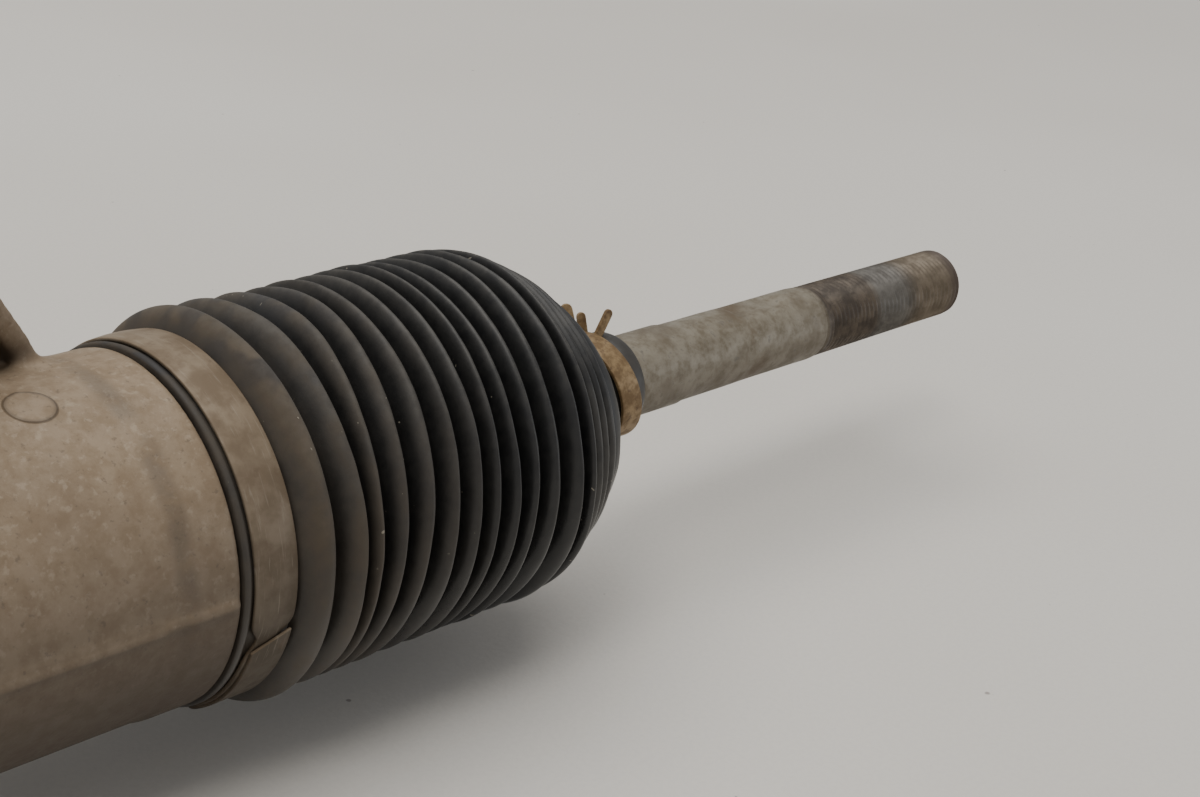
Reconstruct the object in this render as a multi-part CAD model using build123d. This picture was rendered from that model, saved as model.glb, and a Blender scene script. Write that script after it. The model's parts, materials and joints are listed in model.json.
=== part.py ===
from build123d import *
import math
import os

# Rack and pinion steering gear, millimetres.
# X runs along the rack, Z is up, and the origin is the centre of the saddle bush's flat underside.
# The gear is drawn with its rack a little left of centre, so the right bellows is the shorter one.
# Lengths along each end are counted outwards from that end's boot seat, as "seat" distances.

FIT = 0.05              # gap between pieces that sit against each other

# Housing: two castings joined by a pressed-in tube
AXIS_Z = 42.0           # rack axis above the feet
SEAT_X = 280.0          # boot seat shoulder from the middle of the gear
TUBE_R = 19.98
TUBE_BORE_R = 15.0
TUBE_SOCKET_R = 20.0
TUBE_SOCKET_DEPTH = 32.0
HUB_R = 26.0            # casting around the tube
END_R = 29.6            # cast end barrel
COLLAR_R = 30.0         # collar at the boot seat
COLLAR_LENGTH = 9.5
FLARE_START = -92.0     # seat distances of the cone between hub and barrel
FLARE_END = -64.0
END_BORE_R = 24.0
MOUTH_R = 25.8          # flared mouth that lets the tie rod swing at full lock
SPIGOT_R = 27.5
SPIGOT_LENGTH = 12.0
STOP = -45.0            # shoulder that the inner socket reaches at full lock
LEFT_CASTING_LENGTH = 190.0
RIGHT_CASTING_LENGTH = 112.0
FLASH_HEIGHT = 0.35     # parting line ridge of the castings
FLASH_WIDTH = 1.4
PILOT_STEP = 0.6        # the spigot's relieved middle
EJECTOR_SEAT = -22.0    # round ejector marks beside the top of each casting
EJECTOR_R = 4.0
EJECTOR_HEIGHT = 0.35
EJECTOR_TURN = 12
FOOT_X = 200.0
FOOT_LENGTH = 28.0
FOOT_WIDTH = 40.0
FOOT_CORNER_R = 6.0
SADDLE_LENGTH = 36.0
SADDLE_R = 27.0
SADDLE_GROOVE = 24.0
SADDLE_GROOVE_R = 26.0
SADDLE_CORNER_R = 3.0

# Mounting lugs, seat distances along X and heights above the rack axis
LUG_SEAT = -48.0
LUG_RISE = 50.0
LUG_DEPTH = 15.0        # the lugs stand behind the rack axis
LUG_R = 20.0
LUG_WIDTH = 32.0
ARM_WIDTH = 16.0
ARM_POCKET = 3.5        # depth of the pockets on both faces of the arm
ARM_OUTLINE = [(-9.5, 8), (-9.5, 26.7), (-31, 60.8), (LUG_SEAT, LUG_RISE), (-66.3, 58), (-88, 8)]
POCKET_OUTLINE = [(-11.3, 22), (-34.4, 58.7), (-62.6, 56.4), (-77.6, 22)]
BUSH_R = 15.0
SLEEVE_R = 9.0
SLEEVE_BORE_R = 6.1
SLEEVE_LENGTH = 40.0

# Rack, pinion and their teeth
MODULE = 2.0
PINION_TEETH = 8
PRESSURE_ANGLE = math.radians(25)
PROFILE_SHIFT = 0.35
RACK_R = 12.5
RACK_REFERENCE_Y = 8.0
RACK_ADDENDUM = 1.8
RACK_DEDENDUM = 2.5
RACK_TEETH = 25
TEETH_LEFT_OF_PINION = 16   # the rack moves 90 to the right and 40 to the left from where it is drawn
BACKLASH = 0.16
PINION_X = -170.0
PINION_TIP_R = 10.4
PINION_ROOT_R = 6.2
PITCH = math.pi * MODULE
PITCH_R = MODULE * PINION_TEETH / 2
PINION_Y = RACK_REFERENCE_Y + PITCH_R + PROFILE_SHIFT * MODULE
RACK_BUSH_START = 203.0
RACK_BUSH_END = 221.0
BAR_CHAMFER = 1.5

# Pinion tower and what stands in it: heights above the feet and radii round the pinion axis
TOWER = [(4, 0), (4, 15), (5, 16), (28, 16), (33, 20), (56, 20), (62, 26), (83, 26), (84, 25), (84, 0)]
TOWER_TOP = 84.0
LOWER_PLUG_START = 4.2
LOWER_PLUG_END = 10.0
LOWER_PLUG_R = 11.0
PASSAGE_R = 7.5
LOWER_BORE_START = 12.0
LOWER_BORE_END = 26.0
LOWER_BORE_R = 9.0
CHAMBER_R = 12.5
BEARING_START = 62.0
BEARING_END = 74.0
BEARING_MIDDLE = (BEARING_START + BEARING_END) / 2
UPPER_BORE_R = 21.0
CIRCLIP_START = 74.2
CIRCLIP_END = 75.7
CIRCLIP_R = 22.0
SEAL_START = 77.0
SEAL_END = 83.4
SNAP_RING_R = 12.2
COVER_START = 76.0
COVER_END = 90.0
COVER_R = 27.4
COVER_BORE_R = 26.05
RACE_R = 18.0           # bore of the outer race
RACE_BORE_R = 13.0      # outside of the inner race
BALL_CIRCLE_R = 15.5
BEARING_BALLS = 9
BEARING_BALL_R = 3.0
JOURNAL_R = 10.0
NEEDLE_CIRCLE_R = 7.02
NEEDLES = 18
NEEDLE_R = 0.95
NEEDLE_START = 12.5
NEEDLE_END = 25.0
CUP_INNER_R = 8.02
LOWER_JOURNAL_R = 6.0
GEAR_START = 26.5
GEAR_LENGTH = 31.0
SHOULDER_R = 11.5
SNAP_GROOVE_R = 9.3
INPUT_R = 8.0
INPUT_START = 98.0
INPUT_END = 140.0

# Rack yoke: distances forward of the rack axis and radii round the yoke axis
YOKE_BOSS_R = 21.0
YOKE_BOSS_END = 50.0
YOKE_BORE_R = 17.0
YOKE_R = 16.95
YOKE_FRONT = 34.0
YOKE_BACK = 5.0
YOKE_POCKET = 26.0
SPRING_POCKET_R = 9.5
O_RING_Y = 30.4
O_RING_R = 1.05
LINER_INNER_R = RACK_R + 0.04
LINER_OUTER_R = RACK_R + 0.75
LINER_LENGTH = 29.0
SPRING_R = 7.2
SPRING_WIRE_R = 1.4
SPRING_PITCH = 5.0
SPRING_LENGTH = 13.5
SPRING_START = 27.7
YOKE_PLUG_START = 36.0
YOKE_PLUG_END = 59.0
YOKE_PLUG_POCKET = 43.0
YOKE_PLUG_HEX = 12.0    # half across flats
YOKE_PLUG_HEAD = 9.0
LOCK_NUT_HEX = 22.0
LOCK_NUT_HEIGHT = 6.5

# Ball joints and tie rods
BALL_R = 14.0
SEAT_LINER_R = 15.95
SOCKET_CUP_R = 16.0
SOCKET_R = 21.0
SOCKET_BACK = 24.0      # ball centre to the socket's back face
SOCKET_FRONT = 9.5
SOCKET_ROLL = 3.5       # the cup's rim is rolled in over the ball
SOCKET_FLAT = 19.2      # half across the spanner flats
SOCKET_SWING = 56       # half angle of the socket's mouth, degrees
SEAT_SWING = 51
LOCK_WASHER = 1.0
LOCK_WASHER_R = 16.5
LOCK_WASHER_FLAT = 15.0
STUD_R = 7.0
STUD_LENGTH = 18.0
NECK_R = 6.5
SHANK_R = 8.5
SLIM_R = 8.2
SHANK_START = 24.0      # ball centre to the full shank
SLIM_START = 111.0      # ball centre to the step down before the flats
FLATS_START = 130.0
FLATS_END = 146.7
FLATS_ACROSS = 14.6
THREAD_START = 157.5
THREAD_END = 209.9
THREAD_R = 8.0
THREAD_CHAMFER = 1.6
RIGHT_BALL_SEAT = 20.0
LEFT_BALL_SEAT = 70.0

# Bellows and clamps, seat distances
CUFF_START = 0.6
CUFF_END = 10.6
CUFF_R = 30.2
LIP_END = 2.6
LIP_R = 30.8
FIRST_CREST = 14.7
LAST_CREST = 77.0
CRESTS = 13
FOLD_SHARE = 0.8        # part of a longer gaiter's extra length that goes into its folds
SHOULDER_FOLDS = 3
SHOULDER_CREST = 0.4
SHOULDER_VALLEY = 0.9
CREST_R = 33.8
VALLEY_R = 26.5
WALL_RADIAL = 3.0
NECK_START = 101.0
NECK_END = 114.4
NECK_OUTER_R = 10.0
BAND_START = 2.9
BAND_END = 9.6
BAND_R = 31.2
SMALL_BAND_START = 104.0
SMALL_BAND_END = 109.5
SMALL_BAND_R = 10.9
EAR_TURN = 20           # where the clamps are drawn together, degrees round the rack
TAB_OFFSET = 4.5


def turned(outline, axis=Axis.X):
    """Solid turned about one axis from (along, radius) points."""
    if axis == Axis.X:
        points = [(along, 0, radius) for along, radius in outline]
    elif axis == Axis.Z:
        points = [(radius, 0, along) for along, radius in outline]
    else:
        points = [(radius, along, 0) for along, radius in outline]
    return revolve(make_face(Polyline(*points, close=True)), axis, 360)


def ring(start, end, inner, outer, axis=Axis.X):
    return turned([(start, inner), (start, outer), (end, outer), (end, inner)], axis)


def rod(start, end, radius, axis=Axis.X):
    return ring(start, end, 0, radius, axis)


def at_pinion(shape):
    return Pos(PINION_X, PINION_Y, 0) * shape


def at_yoke(shape):
    return Pos(PINION_X, 0, AXIS_Z) * shape


def at_end(shape, side):
    """Place a shape drawn from the boot seat, pointing outwards along +X, at one end of the gear."""
    if side == "right":
        return Pos(SEAT_X, 0, AXIS_Z) * shape
    return Pos(-SEAT_X, 0, AXIS_Z) * Rot(0, 0, 180) * shape


def at_lug(shape, side):
    """Place a shape drawn round a lug eye's centre in the coordinates of its end."""
    return Pos(LUG_SEAT, LUG_DEPTH if side == "right" else -LUG_DEPTH, LUG_RISE) * shape


def ball_seat_distance(side):
    return RIGHT_BALL_SEAT if side == "right" else LEFT_BALL_SEAT


# Housing

def casting_outline(length, growth=0.0):
    """Half section of a casting in seat distances, from its tube socket to the boot seat."""
    corners = [(-length, HUB_R), (FLARE_START, HUB_R), (FLARE_END, END_R), (-COLLAR_LENGTH, END_R),
               (-COLLAR_LENGTH, COLLAR_R), (0, COLLAR_R)]
    return [(-length, 0)] + [(along, radius + growth) for along, radius in corners] + [(0, 0)]


def casting_barrel(length, side):
    barrel = turned(casting_outline(length))
    barrel += turned(casting_outline(length, FLASH_HEIGHT)) & Box(3 * length, 4 * HUB_R, FLASH_WIDTH)
    relieved = SPIGOT_R - PILOT_STEP
    spigot = [(-1, 20), (-1, SPIGOT_R), (4, SPIGOT_R), (4, relieved), (8, relieved), (8, SPIGOT_R),
              (SPIGOT_LENGTH - 0.5, SPIGOT_R), (SPIGOT_LENGTH, SPIGOT_R - 0.5), (SPIGOT_LENGTH, 20)]
    barrel += turned(spigot)
    for turn in (EJECTOR_TURN, -EJECTOR_TURN):
        mark = Pos(EJECTOR_SEAT, 0, 0) * rod(END_R - 2, END_R + EJECTOR_HEIGHT, EJECTOR_R, Axis.Z)
        barrel += Rot(turn, 0, 0) * mark
    return barrel + mounting_lug(side)


def casting_bores(length, side):
    mouth = turned([(SPIGOT_LENGTH - 5.5, 0), (SPIGOT_LENGTH - 5.5, END_BORE_R), (SPIGOT_LENGTH, MOUTH_R),
                    (SPIGOT_LENGTH + 1, MOUTH_R), (SPIGOT_LENGTH + 1, 0)])
    return (rod(STOP, SPIGOT_LENGTH + 1, END_BORE_R) + mouth + rod(-length, STOP + 1, TUBE_BORE_R)
            + rod(-length - 1, TUBE_SOCKET_DEPTH - length, TUBE_SOCKET_R)
            + at_lug(rod(-LUG_WIDTH, LUG_WIDTH, BUSH_R, Axis.Y), side))


def foot_pad(x):
    top = AXIS_Z - TUBE_BORE_R - 2
    pad = Pos(x, 0, top / 2) * Box(FOOT_LENGTH, FOOT_WIDTH, top)
    return fillet(pad.edges().filter_by(Axis.Z), FOOT_CORNER_R)


def plate(outline, thickness):
    """Plate standing in the XZ plane from (along, up) points."""
    face = make_face(Polyline(*[(along, 0, up) for along, up in outline], close=True))
    return extrude(face, thickness / 2, dir=(0, 1, 0), both=True)


def mounting_lug(side):
    """Eye and pocketed arm, in seat distances, rising from the end barrel."""
    arm = plate(ARM_OUTLINE, ARM_WIDTH)
    pocket = plate(POCKET_OUTLINE, ARM_POCKET)
    for face_y in (-1, 1):
        arm -= Pos(0, face_y * (ARM_WIDTH - ARM_POCKET) / 2, 0) * pocket
    eye = rod(-LUG_WIDTH / 2, LUG_WIDTH / 2, LUG_R, Axis.Y)
    eye = chamfer(eye.edges().filter_by(GeomType.CIRCLE), 1.2)
    return at_lug(Pos(-LUG_SEAT, 0, -LUG_RISE) * arm + eye, side)


def pinion_tower():
    return at_pinion(turned(TOWER, Axis.Z))


def pinion_bores():
    bores = [
        rod(LOWER_PLUG_START - 1.2, LOWER_PLUG_END + FIT, LOWER_PLUG_R, Axis.Z),
        rod(LOWER_PLUG_END, LOWER_BORE_START, PASSAGE_R, Axis.Z),
        rod(LOWER_BORE_START, LOWER_BORE_END, LOWER_BORE_R, Axis.Z),
        rod(LOWER_BORE_END, BEARING_START, CHAMBER_R, Axis.Z),
        rod(BEARING_START, TOWER_TOP + 1, UPPER_BORE_R, Axis.Z),
        rod(CIRCLIP_START - 0.1, CIRCLIP_END + 0.1, CIRCLIP_R, Axis.Z),
    ]
    return [at_pinion(bore) for bore in bores]


def pinion_housing():
    body = at_end(casting_barrel(LEFT_CASTING_LENGTH, "left"), "left")
    body += pinion_tower()
    body += at_yoke(rod(-YOKE_BOSS_END, -6, YOKE_BOSS_R, Axis.Y))
    body += foot_pad(-FOOT_X)
    body -= at_end(casting_bores(LEFT_CASTING_LENGTH, "left"), "left")
    for bore in pinion_bores():
        body -= bore
    return body - at_yoke(rod(-YOKE_BOSS_END - 1, -4, YOKE_BORE_R, Axis.Y))


def end_housing():
    body = at_end(casting_barrel(RIGHT_CASTING_LENGTH, "right"), "right") + foot_pad(FOOT_X)
    return body - at_end(casting_bores(RIGHT_CASTING_LENGTH, "right"), "right")


def rack_tube():
    start = LEFT_CASTING_LENGTH - SEAT_X - TUBE_SOCKET_DEPTH
    end = SEAT_X - RIGHT_CASTING_LENGTH + TUBE_SOCKET_DEPTH
    return Pos(0, 0, AXIS_Z) * ring(start + FIT, end - FIT, TUBE_BORE_R, TUBE_R)


def saddle_bush():
    """Rubber cushion round the tube, with the flat base that a strap pulls onto the car's frame."""
    cushion = Pos(0, 0, AXIS_Z) * rod(-SADDLE_LENGTH / 2, SADDLE_LENGTH / 2, SADDLE_R)
    base = Pos(0, 0, AXIS_Z / 2) * Box(SADDLE_LENGTH, 2 * SADDLE_R, AXIS_Z)
    base = fillet(base.edges().filter_by(Axis.X).group_by(Axis.Z)[0], SADDLE_CORNER_R)
    groove = ring(-SADDLE_GROOVE / 2, SADDLE_GROOVE / 2, SADDLE_GROOVE_R, SADDLE_R + 2)
    upper_half = Pos(0, 0, 2 * SADDLE_R) * Box(4 * SADDLE_R, 4 * SADDLE_R, 4 * SADDLE_R)
    cushion = cushion + base - Pos(0, 0, AXIS_Z) * (groove & upper_half)
    return cushion - Pos(0, 0, AXIS_Z) * rod(-SADDLE_LENGTH, SADDLE_LENGTH, TUBE_R + 0.02)


def mount_bush():
    return ring(-LUG_WIDTH / 2 - 1, LUG_WIDTH / 2 + 1, SLEEVE_R + FIT, BUSH_R - FIT, Axis.Y)


def mount_sleeve():
    return ring(-SLEEVE_LENGTH / 2, SLEEVE_LENGTH / 2, SLEEVE_BORE_R, SLEEVE_R, Axis.Y)


def rack_bush():
    bush = ring(RACK_BUSH_START, RACK_BUSH_END, RACK_R + FIT, TUBE_BORE_R - FIT)
    return Pos(0, 0, AXIS_Z) * bush


# Rack and pinion

def rack_bar():
    left = -SEAT_X - LEFT_BALL_SEAT + SOCKET_BACK + LOCK_WASHER
    right = SEAT_X + RIGHT_BALL_SEAT - SOCKET_BACK - LOCK_WASHER
    end_r = RACK_R - BAR_CHAMFER
    bar = turned([(left, 0), (left, end_r), (left + BAR_CHAMFER, RACK_R),
                  (right - BAR_CHAMFER, RACK_R), (right, end_r), (right, 0)])
    half_hole = STUD_LENGTH / 2
    for end, inward in ((left, 1), (right, -1)):
        bar -= Pos(end + inward * half_hole, 0, 0) * rod(-half_hole - 1, half_hole + 1, STUD_R)
    tip_y = RACK_REFERENCE_Y + RACK_ADDENDUM
    root_y = RACK_REFERENCE_Y - RACK_DEDENDUM
    first_space = PINION_X - PITCH * TEETH_LEFT_OF_PINION
    zone = RACK_TEETH * PITCH
    centre = first_space + zone / 2 - PITCH / 2
    bar -= Pos(centre, tip_y + 5, 0) * Box(zone, 10, 2 * RACK_R)
    slope = math.tan(PRESSURE_ANGLE)
    half_tip = PITCH / 4 + BACKLASH / 2 + (tip_y - RACK_REFERENCE_Y) * slope
    half_root = PITCH / 4 + BACKLASH / 2 - RACK_DEDENDUM * slope
    for index in range(RACK_TEETH):
        x = first_space + PITCH * index
        space = [(x - half_tip, tip_y), (x - half_root, root_y), (x + half_root, root_y),
                 (x + half_tip, tip_y), (x + half_tip, tip_y + 1), (x - half_tip, tip_y + 1)]
        face = make_face(Polyline(*space, close=True))
        bar -= extrude(face, RACK_R + 1, dir=(0, 0, 1), both=True)
    return Pos(0, 0, AXIS_Z) * bar


def involute_angle(radius):
    """Polar angle that an involute has turned through at a radius."""
    base_r = PITCH_R * math.cos(PRESSURE_ANGLE)
    angle = math.acos(min(1.0, base_r / radius))
    return math.tan(angle) - angle


def pinion_face():
    base_r = PITCH_R * math.cos(PRESSURE_ANGLE)
    thickness = MODULE * (math.pi / 2 + 2 * PROFILE_SHIFT * math.tan(PRESSURE_ANGLE))
    half_base = thickness / 2 / PITCH_R + involute_angle(PITCH_R)
    radii = [base_r + (PINION_TIP_R - base_r) * step / 5 for step in range(6)]
    edges = []
    tooth_angle = 2 * math.pi / PINION_TEETH

    def polar(radius, angle):
        return (radius * math.cos(angle), radius * math.sin(angle))

    for tooth in range(PINION_TEETH):
        middle = -math.pi / 2 + tooth * tooth_angle
        rising = [polar(r, middle - half_base + involute_angle(r)) for r in radii]
        falling = [polar(r, middle + half_base - involute_angle(r)) for r in reversed(radii)]
        root_in = polar(PINION_ROOT_R, middle - half_base)
        root_out = polar(PINION_ROOT_R, middle + half_base)
        next_root = polar(PINION_ROOT_R, middle + tooth_angle - half_base)
        root_middle = polar(PINION_ROOT_R, middle + tooth_angle / 2)
        edges += [
            Line(root_in, rising[0]), Spline(*rising),
            ThreePointArc(rising[-1], polar(PINION_TIP_R, middle), falling[0]),
            Spline(*falling), Line(falling[-1], root_out),
            ThreePointArc(root_out, root_middle, next_root),
        ]
    return make_face(edges)


def pinion_shaft():
    tip = LOWER_BORE_START - 1
    chamfer_r = LOWER_JOURNAL_R - 0.7
    shaft = turned([(tip, 0), (tip, chamfer_r), (tip + 0.7, LOWER_JOURNAL_R), (GEAR_START, LOWER_JOURNAL_R),
                    (GEAR_START, 0)], Axis.Z)
    shaft += Pos(0, 0, GEAR_START) * extrude(pinion_face(), GEAR_LENGTH)
    gear_end = GEAR_START + GEAR_LENGTH
    groove_start = CIRCLIP_START - 0.1
    groove_end = CIRCLIP_END - 0.3
    shoulder = BEARING_START - 3
    shaft += turned([(gear_end - 0.5, 0), (gear_end - 0.5, JOURNAL_R), (shoulder, JOURNAL_R),
                     (shoulder, SHOULDER_R), (BEARING_START, SHOULDER_R), (BEARING_START, JOURNAL_R),
                     (groove_start, JOURNAL_R), (groove_start, SNAP_GROOVE_R),
                     (groove_end, SNAP_GROOVE_R), (groove_end, JOURNAL_R),
                     (INPUT_START - 4, JOURNAL_R), (INPUT_START, INPUT_R),
                     (INPUT_END - 1.2, INPUT_R), (INPUT_END, INPUT_R - 1.2), (INPUT_END, 0)], Axis.Z)
    return at_pinion(shaft)


def round_bearing(index, count, radius, height):
    """Place of one of a bearing's rolling pieces."""
    return Rot(0, 0, 360 / count * index) * Pos(radius, 0, height)


def bearing_race(inner, outer):
    race = ring(BEARING_START, BEARING_END, inner, outer, Axis.Z)
    groove = Pos(0, 0, BEARING_MIDDLE) * Torus(BALL_CIRCLE_R, BEARING_BALL_R + FIT)
    return at_pinion(race - groove)


def bearing_cage():
    cage = ring(BEARING_MIDDLE - 3, BEARING_MIDDLE + 3, BALL_CIRCLE_R - 0.9, BALL_CIRCLE_R + 0.9, Axis.Z)
    pocket = Sphere(BEARING_BALL_R + FIT)
    for index in range(BEARING_BALLS):
        cage -= round_bearing(index, BEARING_BALLS, BALL_CIRCLE_R, BEARING_MIDDLE) * pocket
    return at_pinion(cage)


def bearing_balls():
    balls = [round_bearing(index, BEARING_BALLS, BALL_CIRCLE_R, BEARING_MIDDLE) * Sphere(BEARING_BALL_R)
             for index in range(BEARING_BALLS)]
    return at_pinion(Compound(children=balls))


def bearing_needles():
    needle = rod(NEEDLE_START, NEEDLE_END, NEEDLE_R, Axis.Z)
    needles = [round_bearing(index, NEEDLES, NEEDLE_CIRCLE_R, 0) * needle for index in range(NEEDLES)]
    return at_pinion(Compound(children=needles))


def yoke():
    body = rod(-YOKE_FRONT, -YOKE_BACK, YOKE_R, Axis.Y)
    body -= rod(-YOKE_FRONT - 1, -YOKE_POCKET, SPRING_POCKET_R, Axis.Y)
    body -= ring(-O_RING_Y - 1.2, -O_RING_Y + 1.2, YOKE_R - 2.15, YOKE_R + 1, Axis.Y)
    body -= rod(-30, 30, LINER_OUTER_R + FIT, Axis.X)
    return at_yoke(body)


def yoke_liner():
    shell = ring(-LINER_LENGTH / 2, LINER_LENGTH / 2, LINER_INNER_R, LINER_OUTER_R)
    wedge = make_face(Polyline((0, 0, 0), (0, -18, 21), (0, -18, -21), close=True))
    wedge = extrude(wedge, LINER_LENGTH, dir=(1, 0, 0), both=True)
    return at_yoke(shell & wedge & rod(-30, -YOKE_BACK - 0.2, YOKE_R - FIT, Axis.Y))


def yoke_spring():
    path = Helix(pitch=SPRING_PITCH, height=SPRING_LENGTH, radius=SPRING_R, direction=(0, -1, 0),
                 center=(0, -SPRING_START, 0))
    wire = Plane(origin=path @ 0, z_dir=path % 0) * Circle(SPRING_WIRE_R)
    return at_yoke(sweep(wire, path))


def yoke_plug():
    plug = rod(-YOKE_PLUG_END, -YOKE_PLUG_START, YOKE_R - FIT, Axis.Y)
    plug -= rod(-YOKE_PLUG_POCKET, -YOKE_PLUG_START + 1, SPRING_POCKET_R, Axis.Y)
    head = extrude(Plane.XZ * RegularPolygon(YOKE_PLUG_HEX, 6, major_radius=False), YOKE_PLUG_HEAD)
    return at_yoke(plug + Pos(0, -YOKE_PLUG_END, 0) * head)


def yoke_lock_nut():
    nut = extrude(Plane.XZ * RegularPolygon(LOCK_NUT_HEX, 6, major_radius=False), LOCK_NUT_HEIGHT)
    nut = Pos(0, -YOKE_BOSS_END - 0.1, 0) * nut
    return at_yoke(nut - rod(-YOKE_BOSS_END - 10, -YOKE_BOSS_END + 1, YOKE_BORE_R, Axis.Y))


# Ball joints and tie rods, drawn from the ball centre and pointing outwards along +X

def inner_socket():
    body = turned([(-SOCKET_BACK, 0), (-SOCKET_BACK, SOCKET_R - 1), (-SOCKET_BACK + 1, SOCKET_R),
                   (4, SOCKET_R), (SOCKET_FRONT, SOCKET_R - SOCKET_ROLL), (SOCKET_FRONT, 0)])
    body -= Sphere(SOCKET_CUP_R)
    body -= turned([(0, 0), (30, 0), (30, 30 * math.tan(math.radians(SOCKET_SWING)))])
    for side in (1, -1):
        body -= Pos(-15, 0, side * (SOCKET_FLAT + 5)) * Box(12, 60, 10)
    return body + rod(-SOCKET_BACK - STUD_LENGTH + 1, -SOCKET_BACK, STUD_R - FIT)


def lock_washer():
    disc = ring(-SOCKET_BACK - LOCK_WASHER, -SOCKET_BACK, STUD_R + 0.2, LOCK_WASHER_R)
    for side in (1, -1):
        disc -= Pos(-SOCKET_BACK, side * (LOCK_WASHER_FLAT + 2), 0) * Box(10, 4, 8)
    return disc


def ball_seat():
    shell = Sphere(SEAT_LINER_R) - Sphere(BALL_R + FIT)
    opening = turned([(-1, 0), (30, 0), (30, 30 * math.tan(math.radians(SEAT_SWING)) + 1), (-1, 0.5)])
    return shell - opening - rod(-30, -13.5, 4)


def tie_rod():
    bar = Sphere(BALL_R)
    bar += turned([(0, 0), (0, NECK_R), (BALL_R + 4, NECK_R), (SHANK_START, SHANK_R), (SLIM_START, SHANK_R),
                   (SLIM_START + 1, SLIM_R), (THREAD_START - 1.5, SLIM_R), (THREAD_START, THREAD_R),
                   (THREAD_END - THREAD_CHAMFER, THREAD_R), (THREAD_END, THREAD_R - THREAD_CHAMFER),
                   (THREAD_END, 0)])
    for side in (1, -1):
        flat = Box(FLATS_END - FLATS_START, 20, 10)
        bar -= Pos((FLATS_START + FLATS_END) / 2, 0, side * (FLATS_ACROSS / 2 + 5)) * flat
    return bar - Pos(-BALL_R, 0, 0) * rod(-1, 1, 8)


# Bellows and clamps, in seat distances

def bellows(stretch):
    """Gaiter whose folds are drawn out by a length beyond the right-hand one's."""
    last = LAST_CREST + stretch * FOLD_SHARE
    pitch = (last - FIRST_CREST) / (CRESTS - 1)
    neck = NECK_START + stretch
    outer = [(CUFF_START, LIP_R), (LIP_END, LIP_R), (LIP_END, CUFF_R), (CUFF_END, CUFF_R)]
    inner = [(CUFF_START, SPIGOT_R + FIT), (CUFF_END + 1, SPIGOT_R + FIT)]
    for index in range(CRESTS):
        crest = FIRST_CREST + pitch * index
        outer += [(crest, CREST_R), (crest + pitch / 2, VALLEY_R)]
        inner += [(crest, CREST_R - WALL_RADIAL), (crest + pitch / 2, VALLEY_R - WALL_RADIAL)]
    start = last + pitch / 2
    for fold in range(SHOULDER_FOLDS):
        crest = start + (neck - start) * (fold + SHOULDER_CREST) / SHOULDER_FOLDS
        valley = start + (neck - start) * (fold + SHOULDER_VALLEY) / SHOULDER_FOLDS
        drop = (CREST_R - NECK_OUTER_R - 2) / SHOULDER_FOLDS
        crest_r = CREST_R - drop * (fold + SHOULDER_CREST)
        outer += [(crest, crest_r), (valley, crest_r - drop)]
        inner += [(crest, crest_r - WALL_RADIAL), (valley, max(crest_r - drop - WALL_RADIAL, SHANK_R + 1))]
    outer += [(neck, NECK_OUTER_R), (NECK_END + stretch, NECK_OUTER_R)]
    inner += [(neck, SHANK_R + FIT), (NECK_END + stretch, SHANK_R + FIT)]
    return turned(outer + list(reversed(inner)))


def large_clamp():
    band = ring(BAND_START, BAND_END, CUFF_R + FIT, BAND_R)
    ear = Pos((BAND_START + BAND_END) / 2, 0, -BAND_R) * Box(5, 9, 2.4)
    return band + Rot(-EAR_TURN, 0, 0) * (ear - rod(BAND_START, BAND_END, CUFF_R + 0.5))


def small_clamp(stretch):
    start = SMALL_BAND_START + stretch
    end = SMALL_BAND_END + stretch
    band = ring(start, end, NECK_OUTER_R + FIT, SMALL_BAND_R)
    for offset in (-TAB_OFFSET, TAB_OFFSET):
        tab = Pos((start + end) / 2, offset, SMALL_BAND_R + 1.2) * Box(4, 1, 4)
        band += Rot(EAR_TURN, 0, 0) * tab - rod(start, end, NECK_OUTER_R + 0.3)
    return band


def dust_cover():
    """Moulded cap over the top of the tower, tight on the shaft."""
    rim = TOWER_TOP + 0.2
    return turned([(COVER_START, COVER_BORE_R), (COVER_START, COVER_R), (rim + 2.3, COVER_R),
                   (COVER_END, 13), (COVER_END, JOURNAL_R + 0.2), (COVER_END - 2.5, JOURNAL_R + 0.2),
                   (rim, 22), (rim, COVER_BORE_R)], Axis.Z)


def needle_cup():
    start = LOWER_BORE_START + 0.1
    end = LOWER_BORE_END - 0.1
    outer = LOWER_BORE_R - FIT
    lip = LOWER_JOURNAL_R + 0.5
    return turned([(start, lip), (start, outer), (end, outer), (end, lip), (end - 0.6, lip),
                   (end - 0.6, CUP_INNER_R), (start + 0.3, CUP_INNER_R), (start + 0.3, lip)], Axis.Z)


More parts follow.
